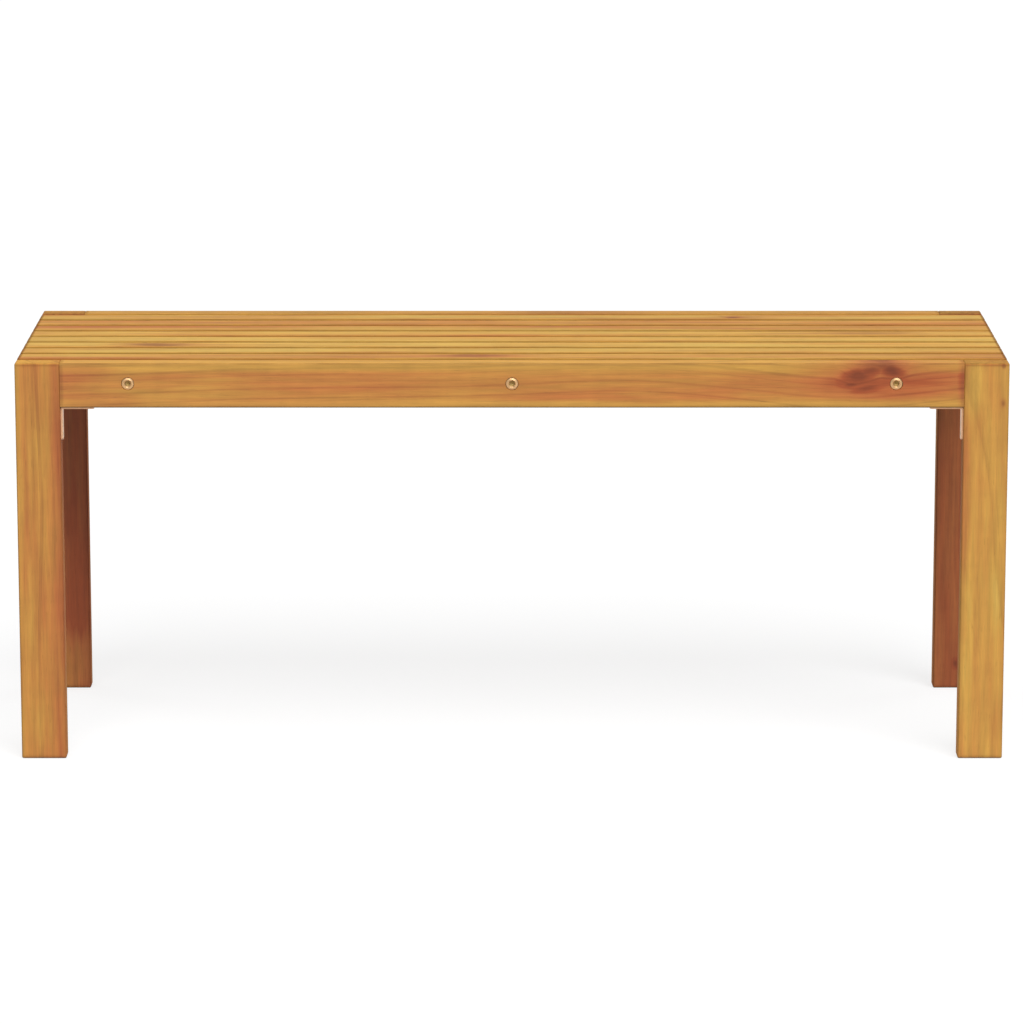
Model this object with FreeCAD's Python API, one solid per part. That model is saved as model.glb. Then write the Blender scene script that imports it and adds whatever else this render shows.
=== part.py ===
import FreeCAD, Part
import math
import os

# Slatted garden bench of oiled hardwood, without a back.
# Four plank legs stand at the corners. A front and a rear apron run between them, and an end rail joins
# the two legs at each end. Three cross battens are bolted between the aprons. Eight slats rest on the end
# rails and the battens, with their tops level with the aprons and the legs.
# All sizes are in millimetres. +X runs along the seat, the front faces -Y, and +Z is up.
# The origin is on the floor, below the middle of the seat.

# Overall sizes. The depth follows from the slats.
SEAT_LENGTH = 1100.0
SEAT_HEIGHT = 450.0

# Legs and aprons are planks of one thickness, with their broad faces to the front and the rear.
PLANK_THICKNESS = 24.0
LEG_WIDTH = 50.0
APRON_HEIGHT = 50.0
PLANK_ROUND = 2.0

# Seat slats
SLAT_COUNT = 8
SLAT_WIDTH = 30.0
SLAT_GAP = 8.0
SLAT_THICKNESS = 15.0
SLAT_ROUND = 1.5

# Bearers are the three cross battens and the two end rails that carry the slats.
BEARER_HEIGHT = 35.0
BATTEN_WIDTH = 30.0
BATTEN_INSET = 75.0
RAIL_THICKNESS = 24.0
BEARER_ROUND = 1.5

# Socket-head bolts from the aprons into the battens. Each head has a low crown. Its very top would stand
# proud of the apron, but the cone at the mouth of the hexagon takes that away.
BOLT_DIAMETER = 8.0
BOLT_HEAD_DIAMETER = 13.5
BOLT_HEAD_HEIGHT = 8.0
BOLT_CROWN_RADIUS = 16.0
BOLT_CROWN_PROUD = 0.5
BOLT_TIP_BEVEL = 1.0
BOLT_BELOW_BATTEN_TOP = 8.0
BOLT_PAST_NUT = 2.5
HEX_ACROSS_FLATS = 6.0
HEX_DEPTH = 4.5
HEX_POINT_DEPTH = 1.5
HEX_MOUTH_RADIUS = 5.0
HEX_SIDES = 6
HEAD_POCKET_CLEARANCE = 0.5
BOLT_HOLE_CLEARANCE = 0.5
BOLT_END_CLEARANCE = 2.0

# Barrel nuts stand upright in the battens, put in from below.
NUT_DIAMETER = 12.0
NUT_ABOVE_BOLT = 6.0
NUT_BELOW_BOLT = 10.0
NUT_FROM_APRON = 31.0
NUT_HOLE_CLEARANCE = 0.15
NUT_THREAD_CLEARANCE = 0.05
NUT_SLOT_WIDTH = 1.4
NUT_SLOT_DEPTH = 1.5

# Pan-head screws that hold the slats from below
SLAT_SCREW_DIAMETER = 4.0
SLAT_SCREW_HEAD_DIAMETER = 8.0
SLAT_SCREW_HEAD_HEIGHT = 2.4
SLAT_SCREW_BITE = 10.0
SLAT_SCREW_POCKET_DEPTH = 10.0
SLAT_SCREW_EDGE = 5.0
SLAT_SCREW_HEAD_CLEARANCE = 0.25

# Angle brackets between each leg and its apron
BRACKET_WING = 37.0
BRACKET_WIDTH = 15.0
BRACKET_THICKNESS = 2.0
BRACKET_INNER_BEND = 0.6
BRACKET_TIP_ROUND = 3.0
BRACKET_HOLE_NEAR = 20.0
BRACKET_HOLE_FAR = 31.0

# Countersunk screws of the brackets
BRACKET_SCREW_DIAMETER = 3.5
BRACKET_SCREW_HEAD_DIAMETER = 6.6
BRACKET_SCREW_LENGTH = 12.0

# All wood screws
SCREW_TIP_LENGTH = 3.0
SCREW_PILOT_CLEARANCE = 0.1
SCREW_PILOT_EXTRA = 0.5
SCREW_PASSAGE_CLEARANCE = 0.25
CROSS_SLOT_WIDTH = 0.9
CROSS_SLOT_DEPTH = 1.0
CROSS_SLOT_SHARE = 0.6

# Dowels hold the ends of the aprons and of the end rails to the legs, half in each piece.
DOWEL_DIAMETER = 8.0
DOWEL_LENGTH = 30.0
DOWEL_BEVEL = 1.0
DOWEL_HOLE_CLEARANCE = 0.1
DOWEL_END_CLEARANCE = 0.5
APRON_DOWEL_SPACING = 20.0
RAIL_DOWEL_SPACING = 18.0

# Shape rules: a full turn in degrees, the largest rounding as a share of a board's thinnest side,
# and how close two places are when they count as one
FULL_TURN = 360
LARGEST_ROUND_SHARE = 0.33
SAME_PLACE = 0.05

# Places that follow from the sizes
SLAT_PITCH = SLAT_WIDTH + SLAT_GAP
SLAT_FIELD = SLAT_COUNT * SLAT_PITCH + SLAT_GAP
SEAT_DEPTH = SLAT_FIELD + 2 * PLANK_THICKNESS
END_X = SEAT_LENGTH / 2
LEG_INNER_X = END_X - LEG_WIDTH
OUTER_Y = SEAT_DEPTH / 2
APRON_INNER_Y = SLAT_FIELD / 2
APRON_BOTTOM_Z = SEAT_HEIGHT - APRON_HEIGHT
BEARER_TOP_Z = SEAT_HEIGHT - SLAT_THICKNESS
BEARER_BOTTOM_Z = BEARER_TOP_Z - BEARER_HEIGHT
PLANK_MIDDLE_Y = APRON_INNER_Y + PLANK_THICKNESS / 2
RAIL_MIDDLE_X = END_X - RAIL_THICKNESS / 2
BATTEN_END_X = LEG_INNER_X - BATTEN_INSET
BOLT_Z = BEARER_TOP_Z - BOLT_BELOW_BATTEN_TOP
HEAD_POCKET_DEPTH = BOLT_HEAD_HEIGHT - BOLT_CROWN_PROUD
NUT_Y = APRON_INNER_Y - NUT_FROM_APRON
BOLT_SHANK_LENGTH = (PLANK_THICKNESS - HEAD_POCKET_DEPTH + NUT_FROM_APRON
                     + NUT_DIAMETER / 2 + BOLT_PAST_NUT)
SCREW_SEAT_Z = BEARER_BOTTOM_Z + SLAT_SCREW_POCKET_DEPTH
BATTEN_SCREW_OFFSET = BATTEN_WIDTH / 2 - SLAT_SCREW_EDGE

# Names and signs of the two sides along X and along Y
SIDES = {"left": -1, "right": 1}
FACES = {"front": -1, "rear": 1}
BATTENS = {"left": -BATTEN_END_X, "centre": 0.0, "right": BATTEN_END_X}


def vector(x, y, z):
    return FreeCAD.Vector(x, y, z)


def span(first, second):
    """Two coordinates, the smaller one first."""
    return min(first, second), max(first, second)


def runs_along(edge, axis):
    start, end = [vertex.Point for vertex in edge.Vertexes]
    return abs((end - start).dot(axis)) > SAME_PLACE


def rounded_board(x_span, y_span, z_span, radius, butt_axis=None):
    """A board with rounded edges. A board that butts against its neighbours along an axis has only the
    edges along that axis rounded, and its ends stay square."""
    size = [high - low for low, high in (x_span, y_span, z_span)]
    board = Part.makeBox(*size, vector(x_span[0], y_span[0], z_span[0]))
    edges = [edge for edge in board.Edges if butt_axis is None or runs_along(edge, butt_axis)]
    return board.makeFillet(min(radius, min(size) * LARGEST_ROUND_SHARE), edges)


def rod(radius, start, end):
    """A cylinder from one point to another."""
    axis = end - start
    return Part.makeCylinder(radius, axis.Length, start, axis)


def turned(outline):
    """A solid turned round Z from (radius, height) points that start and end on the axis."""
    points = [vector(radius, 0, height) for radius, height in outline]
    face = Part.Face(Part.makePolygon(points + points[:1]))
    return face.revolve(vector(0, 0, 0), vector(0, 0, 1), FULL_TURN)


def placed(shape, position, direction):
    """A copy of a shape made along +Z, set down at a point and turned along a direction."""
    copy = shape.copy()
    copy.Placement = FreeCAD.Placement(position, FreeCAD.Rotation(vector(0, 0, 1), direction))
    return copy


def along_x(side):
    return vector(side, 0, 0)


def along_y(face):
    return vector(0, face, 0)


def slat_y(index):
    """Middle of a slat, counted from the front with 0 first."""
    return -APRON_INNER_Y + SLAT_GAP + SLAT_WIDTH / 2 + index * SLAT_PITCH


def batten_screw_x(batten_x, index):
    """Slat screws go down a batten in a zigzag, clear of the bolts along its middle."""
    side = 1 if index % 2 == 0 else -1
    return batten_x + side * BATTEN_SCREW_OFFSET


def slat_screw_places():
    """X and Y of every slat screw, with the number of its slat."""
    places = []
    for index in range(SLAT_COUNT):
        for batten_x in BATTENS.values():
            places.append((batten_screw_x(batten_x, index), slat_y(index), index))
        for side in SIDES.values():
            places.append((side * RAIL_MIDDLE_X, slat_y(index), index))
    return places


def apron_dowel_places():
    """Joint point and direction of each dowel between a leg and an apron."""
    places = []
    middle_z = SEAT_HEIGHT - APRON_HEIGHT / 2
    for side in SIDES.values():
        for face in FACES.values():
            for step in (-0.5, 0.5):
                height = middle_z + step * APRON_DOWEL_SPACING
                places.append((vector(side * LEG_INNER_X, face * PLANK_MIDDLE_Y, height), along_x(side)))
    return places


def rail_dowel_places():
    """Joint point and direction of each dowel between a leg and an end rail."""
    places = []
    middle_z = BEARER_TOP_Z - BEARER_HEIGHT / 2
    for side in SIDES.values():
        for face in FACES.values():
            for step in (-0.5, 0.5):
                height = middle_z + step * RAIL_DOWEL_SPACING
                places.append((vector(side * RAIL_MIDDLE_X, face * APRON_INNER_Y, height), along_y(face)))
    return places


def dowel_holes(places):
    reach = DOWEL_LENGTH / 2 + DOWEL_END_CLEARANCE
    radius = DOWEL_DIAMETER / 2 + DOWEL_HOLE_CLEARANCE
    return [rod(radius, joint - axis * reach, joint + axis * reach) for joint, axis in places]


def bracket_screw_places(side, face):
    """Head centre and direction of the four screws of one corner bracket."""
    places = []
    head_z = APRON_BOTTOM_Z - BRACKET_THICKNESS
    head_x = side * (LEG_INNER_X - BRACKET_THICKNESS)
    row_y = face * PLANK_MIDDLE_Y
    for distance in (BRACKET_HOLE_NEAR, BRACKET_HOLE_FAR):
        places.append((vector(side * (LEG_INNER_X - distance), row_y, head_z), vector(0, 0, 1)))
        places.append((vector(head_x, row_y, APRON_BOTTOM_Z - distance), along_x(side)))
    return places


def countersunk_hole(head, axis):
    """Hole for one bracket screw, through the plate and into the wood."""
    head_radius = BRACKET_SCREW_HEAD_DIAMETER / 2 + SCREW_PILOT_CLEARANCE
    shank_radius = BRACKET_SCREW_DIAMETER / 2 + SCREW_PILOT_CLEARANCE
    countersink = Part.makeCone(head_radius, shank_radius, head_radius - shank_radius, head, axis)
    pilot = rod(shank_radius, head, head + axis * (BRACKET_SCREW_LENGTH + SCREW_PILOT_EXTRA))
    return [countersink, pilot]


def corner_screw_holes(side, face):
    holes = []
    for head, axis in bracket_screw_places(side, face):
        holes += countersunk_hole(head, axis)
    return holes


def leg(side, face):
    """Plank leg, full height, with its top end level with the seat."""
    plank = rounded_board(span(side * LEG_INNER_X, side * END_X),
                          span(face * APRON_INNER_Y, face * OUTER_Y),
                          (0, SEAT_HEIGHT), PLANK_ROUND)
    holes = dowel_holes(apron_dowel_places() + rail_dowel_places())
    return plank.cut(holes + corner_screw_holes(side, face))


def apron(face):
    """Board on edge between two legs, with counterbored holes for the bolts."""
    board = rounded_board((-LEG_INNER_X, LEG_INNER_X),
                          span(face * APRON_INNER_Y, face * OUTER_Y),
                          (APRON_BOTTOM_Z, SEAT_HEIGHT), PLANK_ROUND, along_x(1))
    holes = dowel_holes(apron_dowel_places())
    for side in SIDES.values():
        holes += corner_screw_holes(side, face)
    for batten_x in BATTENS.values():
        outside = vector(batten_x, face * OUTER_Y, BOLT_Z)
        seat = vector(batten_x, face * (OUTER_Y - HEAD_POCKET_DEPTH), BOLT_Z)
        inside = vector(batten_x, face * APRON_INNER_Y, BOLT_Z)
        holes.append(rod(BOLT_HEAD_DIAMETER / 2 + HEAD_POCKET_CLEARANCE, seat, outside))
        holes.append(rod(BOLT_DIAMETER / 2 + BOLT_HOLE_CLEARANCE, inside, seat))
    return board.cut(holes)


def slat_screw_holes(x, y):
    """Pocket for the head and passage for the shank, through a bearer."""
    bottom = vector(x, y, BEARER_BOTTOM_Z)
    seat = vector(x, y, SCREW_SEAT_Z)
    top = vector(x, y, BEARER_TOP_Z)
    pocket = rod(SLAT_SCREW_HEAD_DIAMETER / 2 + SLAT_SCREW_HEAD_CLEARANCE, bottom, seat)
    passage = rod(SLAT_SCREW_DIAMETER / 2 + SCREW_PASSAGE_CLEARANCE, seat, top)
    return [pocket, passage]


def cross_batten(batten_x):
    """Bar from the front apron to the rear apron, with a bolt hole and a nut hole at each end."""
    bar = rounded_board((batten_x - BATTEN_WIDTH / 2, batten_x + BATTEN_WIDTH / 2),
                        (-APRON_INNER_Y, APRON_INNER_Y),
                        (BEARER_BOTTOM_Z, BEARER_TOP_Z), BEARER_ROUND, along_y(1))
    holes = []
    for index in range(SLAT_COUNT):
        holes += slat_screw_holes(batten_screw_x(batten_x, index), slat_y(index))
    bolt_end_y = NUT_Y - NUT_DIAMETER / 2 - BOLT_PAST_NUT - BOLT_END_CLEARANCE
    for face in FACES.values():
        mouth = vector(batten_x, face * APRON_INNER_Y, BOLT_Z)
        end = vector(batten_x, face * bolt_end_y, BOLT_Z)
        holes.append(rod(BOLT_DIAMETER / 2 + BOLT_HOLE_CLEARANCE, mouth, end))
        below = vector(batten_x, face * NUT_Y, BEARER_BOTTOM_Z)
        above = vector(batten_x, face * NUT_Y, BOLT_Z + NUT_ABOVE_BOLT + NUT_HOLE_CLEARANCE)
        holes.append(rod(NUT_DIAMETER / 2 + NUT_HOLE_CLEARANCE, below, above))
    return bar.cut(holes)


def end_rail(side):
    """Rail from the front leg to the rear leg, under the ends of the slats."""
    board = rounded_board(span(side * (END_X - RAIL_THICKNESS), side * END_X),
                          (-APRON_INNER_Y, APRON_INNER_Y),
                          (BEARER_BOTTOM_Z, BEARER_TOP_Z), BEARER_ROUND, along_y(1))
    holes = dowel_holes(rail_dowel_places())
    for index in range(SLAT_COUNT):
        holes += slat_screw_holes(side * RAIL_MIDDLE_X, slat_y(index))
    return board.cut(holes)


def slat(number):
    """Seat slat with blind pilot holes in its underside."""
    middle_y = slat_y(number)
    board = rounded_board((-END_X, END_X),
                          (middle_y - SLAT_WIDTH / 2, middle_y + SLAT_WIDTH / 2),
                          (BEARER_TOP_Z, SEAT_HEIGHT), SLAT_ROUND)
    radius = SLAT_SCREW_DIAMETER / 2 + SCREW_PILOT_CLEARANCE
    depth = SLAT_SCREW_BITE + SCREW_PILOT_EXTRA
    holes = []
    for x, y, index in slat_screw_places():
        if index == number:
            mouth = vector(x, y, BEARER_TOP_Z)
            holes.append(rod(radius, mouth, mouth + vector(0, 0, depth)))
    return board.cut(holes)


def cross_slot(width):
    """Two crossed slots in a screw head whose outer face is at height 0."""
    length = width * CROSS_SLOT_SHARE
    slots = []
    for x_size, y_size in ((length, CROSS_SLOT_WIDTH), (CROSS_SLOT_WIDTH, length)):
        slots.append(Part.makeBox(x_size, y_size, CROSS_SLOT_DEPTH, vector(-x_size / 2, -y_size / 2, 0)))
    return slots


def socket_bolt():
    """Socket-head bolt along +Z, with the top of its crowned head at height 0."""
    head = rod(BOLT_HEAD_DIAMETER / 2, vector(0, 0, 0), vector(0, 0, BOLT_HEAD_HEIGHT))
    crown = Part.makeSphere(BOLT_CROWN_RADIUS, vector(0, 0, BOLT_CROWN_RADIUS))
    shank_radius = BOLT_DIAMETER / 2
    shank_end = BOLT_HEAD_HEIGHT + BOLT_SHANK_LENGTH
    shank = turned([(0, BOLT_HEAD_HEIGHT),
                    (shank_radius, BOLT_HEAD_HEIGHT),
                    (shank_radius, shank_end - BOLT_TIP_BEVEL),
                    (shank_radius - BOLT_TIP_BEVEL, shank_end),
                    (0, shank_end)])
    body = head.common(crown).fuse(shank)
    corner_radius = HEX_ACROSS_FLATS / math.sqrt(3)
    corners = []
    for corner in range(HEX_SIDES + 1):
        turn = math.radians(corner * FULL_TURN / HEX_SIDES)
        corners.append(vector(corner_radius * math.cos(turn), corner_radius * math.sin(turn), 0))
    socket = Part.Face(Part.makePolygon(corners)).extrude(vector(0, 0, HEX_DEPTH))
    flat_radius = HEX_ACROSS_FLATS / 2
    mouth = Part.makeCone(HEX_MOUTH_RADIUS, flat_radius, HEX_MOUTH_RADIUS - flat_radius)
    point = Part.makeCone(flat_radius, 0, HEX_POINT_DEPTH, vector(0, 0, HEX_DEPTH))
    return body.cut([socket, mouth, point])


def barrel_nut():
    """Upright barrel nut with its cross hole at height 0 along Y, and a slot in its lower end."""
    radius = NUT_DIAMETER / 2
    barrel = rod(radius, vector(0, 0, -NUT_BELOW_BOLT), vector(0, 0, NUT_ABOVE_BOLT))
    thread_radius = BOLT_DIAMETER / 2 + NUT_THREAD_CLEARANCE
    thread = rod(thread_radius, vector(0, -radius, 0), vector(0, radius, 0))
    slot = Part.makeBox(NUT_DIAMETER, NUT_SLOT_WIDTH, NUT_SLOT_DEPTH,
                        vector(-radius, -NUT_SLOT_WIDTH / 2, -NUT_BELOW_BOLT))
    return barrel.cut([thread, slot])


def slat_screw():
    """Pan-head screw along +Z, with the outer face of its head at height 0."""
    head_radius = SLAT_SCREW_HEAD_DIAMETER / 2
    shank_radius = SLAT_SCREW_DIAMETER / 2
    bearer_grip = BEARER_TOP_Z - SCREW_SEAT_Z
    tip = SLAT_SCREW_HEAD_HEIGHT + bearer_grip + SLAT_SCREW_BITE
    body = turned([(0, 0),
                   (head_radius - SLAT_SCREW_HEAD_HEIGHT / 2, 0),
                   (head_radius, SLAT_SCREW_HEAD_HEIGHT / 2),
                   (head_radius, SLAT_SCREW_HEAD_HEIGHT),
                   (shank_radius, SLAT_SCREW_HEAD_HEIGHT),
                   (shank_radius, tip - SCREW_TIP_LENGTH),
                   (0, tip)])
    return body.cut(cross_slot(SLAT_SCREW_HEAD_DIAMETER))


def bracket_screw():
    """Countersunk screw along +Z, with the outer face of its head at height 0."""
    head_radius = BRACKET_SCREW_HEAD_DIAMETER / 2
    shank_radius = BRACKET_SCREW_DIAMETER / 2
    body = turned([(0, 0),
                   (head_radius, 0),
                   (shank_radius, head_radius - shank_radius),
                   (shank_radius, BRACKET_SCREW_LENGTH - SCREW_TIP_LENGTH),
                   (0, BRACKET_SCREW_LENGTH)])
    return body.cut(cross_slot(BRACKET_SCREW_HEAD_DIAMETER))


def dowel():
    """Smooth pin along +Z, with its middle at height 0 and its ends bevelled."""
    radius = DOWEL_DIAMETER / 2
    end = DOWEL_LENGTH / 2
    return turned([(0, -end),
                   (radius - DOWEL_BEVEL, -end),
                   (radius, DOWEL_BEVEL - end),
                   (radius, end - DOWEL_BEVEL),
                   (radius - DOWEL_BEVEL, end),
                   (0, end)])


def corner_bracket(side, face):
    """Bent angle plate: one wing under the apron, one down the inner edge of the leg."""
    near_y = face * PLANK_MIDDLE_Y - BRACKET_WIDTH / 2
    bend_centre = BRACKET_THICKNESS + BRACKET_INNER_BEND

    def point(inwards, down):
        return vector(side * (LEG_INNER_X - inwards), near_y, APRON_BOTTOM_Z - down)

    def bend(radius):
        middle = bend_centre - radius * math.sqrt(0.5)
        return Part.Arc(point(bend_centre - radius, bend_centre), point(middle, middle),
                        point(bend_centre, bend_centre - radius)).toShape()

    outline = [
        bend(bend_centre),
        Part.makeLine(point(bend_centre, 0), point(BRACKET_WING, 0)),
        Part.makeLine(point(BRACKET_WING, 0), point(BRACKET_WING, BRACKET_THICKNESS)),
        Part.makeLine(point(BRACKET_WING, BRACKET_THICKNESS), point(bend_centre, BRACKET_THICKNESS)),
        bend(BRACKET_INNER_BEND),
        Part.makeLine(point(BRACKET_THICKNESS, bend_centre), point(BRACKET_THICKNESS, BRACKET_WING)),
        Part.makeLine(point(BRACKET_THICKNESS, BRACKET_WING), point(0, BRACKET_WING)),
        Part.makeLine(point(0, BRACKET_WING), point(0, bend_centre)),
    ]
    profile = Part.Face(Part.Wire(Part.__sortEdges__(outline)))
    plate = profile.extrude(vector(0, BRACKET_WIDTH, 0))
    corner_edges = [edge for edge in plate.Edges if is_tip_corner(edge.CenterOfMass, side, face)]
    plate = plate.makeFillet(BRACKET_TIP_ROUND, corner_edges)
    return plate.cut(corner_screw_holes(side, face))


def is_tip_corner(middle, side, face):
    """True for the middle of an edge at a free corner of a bracket's wings."""
    half_width = abs(middle.y - face * PLANK_MIDDLE_Y)
    reach = max(LEG_INNER_X - side * middle.x, APRON_BOTTOM_Z - middle.z)
    return half_width > BRACKET_WIDTH / 2 - SAME_PLACE and reach > BRACKET_WING - SAME_PLACE


def frame_bolts():
    bolts = []
    for face in FACES.values():
        for batten_x in BATTENS.values():
            head = vector(batten_x, face * (OUTER_Y + BOLT_CROWN_PROUD), BOLT_Z)
            bolts.append(placed(socket_bolt(), head, along_y(-face)))
    return bolts


def barrel_nuts():
    nuts = []
    for face in FACES.values():
        for batten_x in BATTENS.values():
            nuts.append(placed(barrel_nut(), vector(batten_x, face * NUT_Y, BOLT_Z), vector(0, 0, 1)))
    return nuts


def slat_screws():
    screws = []
    head_z = SCREW_SEAT_Z - SLAT_SCREW_HEAD_HEIGHT
    for x, y, index in slat_screw_places():
        screws.append(placed(slat_screw(), vector(x, y, head_z), vector(0, 0, 1)))
    return screws


def bracket_screws():
    screws = []
    for side in SIDES.values():
        for face in FACES.values():
            for head, axis in bracket_screw_places(side, face):
                screws.append(placed(bracket_screw(), head, axis))
    return screws


def dowels():
    places = apron_dowel_places() + rail_dowel_places()
    return [placed(dowel(), joint, axis) for joint, axis in places]


def build_nodes():
    """Every node of the bench by its name."""
    nodes = {}
    for face_name, face in FACES.items():
        nodes[face_name + "_apron"] = apron(face)
        for side_name, side in SIDES.items():
            nodes["leg_" + face_name + "_" + side_name] = leg(side, face)
            nodes["corner_bracket_" + face_name + "_" + side_name] = corner_bracket(side, face)
    for side_name, side in SIDES.items():
        nodes["end_rail_" + side_name] = end_rail(side)
    for batten_name, batten_x in BATTENS.items():
        nodes["cross_batten_" + batten_name] = cross_batten(batten_x)
    for number in range(SLAT_COUNT):
        nodes["slat_" + str(number + 1)] = slat(number)
    nodes["frame_bolts"] = Part.makeCompound(frame_bolts())
    nodes["barrel_nuts"] = Part.makeCompound(barrel_nuts())
    nodes["slat_screws"] = Part.makeCompound(slat_screws())
    nodes["bracket_screws"] = Part.makeCompound(bracket_screws())
    nodes["dowels"] = Part.makeCompound(dowels())
    return nodes


def main():
    os.makedirs("parts", exist_ok=True)
    for name, shape in build_nodes().items():
        shape.exportStep(os.path.join("parts", name + ".step"))


main()
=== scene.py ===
"""Finishes, fasteners, floor, light and camera for a slatted garden bench of oiled hardwood."""

import math

import bmesh
import bpy
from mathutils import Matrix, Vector


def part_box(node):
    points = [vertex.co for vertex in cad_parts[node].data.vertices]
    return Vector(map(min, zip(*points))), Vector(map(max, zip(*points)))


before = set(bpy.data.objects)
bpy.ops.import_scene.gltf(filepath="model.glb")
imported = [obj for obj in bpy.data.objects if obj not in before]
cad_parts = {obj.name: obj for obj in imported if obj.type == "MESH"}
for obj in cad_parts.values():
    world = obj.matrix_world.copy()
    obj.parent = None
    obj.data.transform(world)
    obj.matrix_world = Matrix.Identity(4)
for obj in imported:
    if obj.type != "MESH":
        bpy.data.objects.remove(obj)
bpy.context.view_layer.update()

bl_info = {
    "name": "Slatted garden bench",
    "version": (1, 0, 0),
    "blender": (4, 5, 0),
    "location": "3D View > Sidebar > Bench",
    "description": "Oiled wood, plated fasteners, floor, light and camera for a slatted garden bench",
    "category": "Object",
}

MM = 0.001
X, Y, Z = 0, 1, 2
WHITE = (1.0, 1.0, 1.0, 1.0)


def srgb(red, green, blue):
    """Linear colour of three display values from 0 to 255."""
    def linear(value):
        share = value / 255
        return share / 12.92 if share <= 0.04045 else ((share + 0.055) / 1.055) ** 2.4
    return (linear(red), linear(green), linear(blue))


def opaque(colour):
    return (*colour, 1.0)


# Each board has its own place on the scale from gold, at 0, over honey to rose, at 1, and its own figure.

class Spot:
    """An oval place on a board: its middle along and across the board from the board's middle and its reach
    along and across the grain, in metres, and its turn out of the grain, in radians."""

    def __init__(self, along, across, length, width, turn=0.0):
        self.along = along
        self.across = across
        self.length = length
        self.width = width
        self.turn = turn


class Knot(Spot):
    """A knot or dark streak, and how dark it is from 0 to 1."""

    def __init__(self, along, across, length, width, turn=0.0, depth=1.0):
        super().__init__(along, across, length, width, turn)
        self.depth = depth


class Streak(Spot):
    """A long soft patch of redder wood, or of paler wood where its warmth is below 0."""

    def __init__(self, along, across, length, width, warmth):
        super().__init__(along, across, length, width)
        self.warmth = warmth


class Board:
    """How one board was sawn and finished.

    grain and across: the axes of its length and of its broad side's width
    warmth, contrast, lean, heart: its tone, how much that varies, how much redder it gets towards the
    high side of its width, and how much painted shade reddens and darkens it towards its front face
    value: its brightness
    low_sap, high_sap, sap: how pale the sapwood along its low and its high edge is, and how wide
    pith: place of the log's middle across and through the board, from the board's middle
    knots, streaks: the spots on it
    gap, dust: which of its long sides stand in a gap of the seat, and how much painted shade darkens the
    sides that face a gap
    end, rim, tip: how dark its end grain is, and how much painted shade darkens its edges and the last bit
    before its ends
    dullness, rough_edges: its roughness, and how much rougher its narrow sides are
    butted: whether its ends are hidden in joints, and so have no painted shade along their edges"""

    def __init__(self, grain, across, warmth, value, lean=0.0, low_sap=0.0, high_sap=0.0, sap=8 * MM,
                 pith=(40 * MM, 70 * MM), knots=(), streaks=(), gap=None, dust=0.42, end=0.15, rim=0.5,
                 tip=0.3, dullness=0.5, rough_edges=0.0, contrast=1.0, heart=0.0, butted=True):
        self.grain = grain
        self.across = across
        self.through = 3 - grain - across
        self.warmth = warmth
        self.value = value
        self.lean = lean
        self.low_sap = low_sap
        self.high_sap = high_sap
        self.sap = sap
        self.pith = pith
        self.knots = knots
        self.streaks = streaks
        self.gap = gap
        self.dust = dust
        self.end = end
        self.rim = rim
        self.tip = tip
        self.dullness = dullness
        self.rough_edges = rough_edges
        self.contrast = contrast
        self.heart = heart
        self.butted = butted


def leg(warmth, value, pith, **figure):
    """A leg, less finely sanded than the boards of the seat, above all on its narrow sides."""
    return Board(Z, X, warmth, value, pith=pith, dullness=0.68, rough_edges=0.27, butted=False, **figure)


def slat(warmth, value, pith, **figure):
    """A seat slat, with a gap on both sides."""
    return Board(X, Y, warmth, value, pith=pith, gap="both", end=0.5, rim=0.35, tip=0.75, dullness=0.48,
                 butted=False, **figure)


LEGS = {
    "leg_front_left": leg(
        0.50, 0.97, pith=(95 * MM, 60 * MM), end=0.04, lean=0.22, low_sap=0.25, sap=14 * MM, rim=0.32,
        # The long dark streak along the leg's inner edge is painted shade
        knots=(Knot(0.000, 0.0190, 280 * MM, 5.5 * MM, depth=0.24),
               Knot(0.030, -0.0055, 190 * MM, 2.4 * MM, depth=0.18)),
        streaks=(Streak(0.150, 0.024, 110 * MM, 7 * MM, 0.10),
                 Streak(-0.060, 0.016, 90 * MM, 12 * MM, -0.15),
                 Streak(-0.190, 0.002, 40 * MM, 9 * MM, -0.25))),
    "leg_front_right": leg(
        0.26, 0.99, pith=(-30 * MM, 120 * MM), end=0.25, lean=-0.05, rim=0.28,
        knots=(Knot(0.180, 0.0185, 4 * MM, 2.4 * MM, depth=0.6),
               Knot(0.222, 0.0185, 2.6 * MM, 2.2 * MM, depth=0.6)),
        streaks=(Streak(-0.150, 0.004, 110 * MM, 24 * MM, -0.36),
                 Streak(0.205, -0.012, 40 * MM, 12 * MM, -0.45),
                 Streak(0.135, 0.008, 40 * MM, 18 * MM, -0.22),
                 Streak(-0.040, 0.004, 50 * MM, 20 * MM, -0.25),
                 Streak(0.080, -0.022, 90 * MM, 7 * MM, 0.45),
                 Streak(0.226, 0.000, 4 * MM, 60 * MM, 0.45))),
    # The rear legs are darker, redder wood; towards their front faces they also get painted shade for the
    # shade under the seat
    "leg_rear_left": leg(
        0.84, 0.86, pith=(-80 * MM, 50 * MM), end=0.18, lean=0.08, contrast=0.5, heart=0.38,
        streaks=(Streak(-0.200, 0.000, 50 * MM, 30 * MM, -0.5),)),
    "leg_rear_right": leg(
        0.82, 0.81, pith=(70 * MM, 65 * MM), end=0.23, lean=0.14, contrast=0.5, heart=0.40,
        knots=(Knot(-0.195, 0.001, 4 * MM, 2.6 * MM, depth=0.8),)),
}

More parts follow.
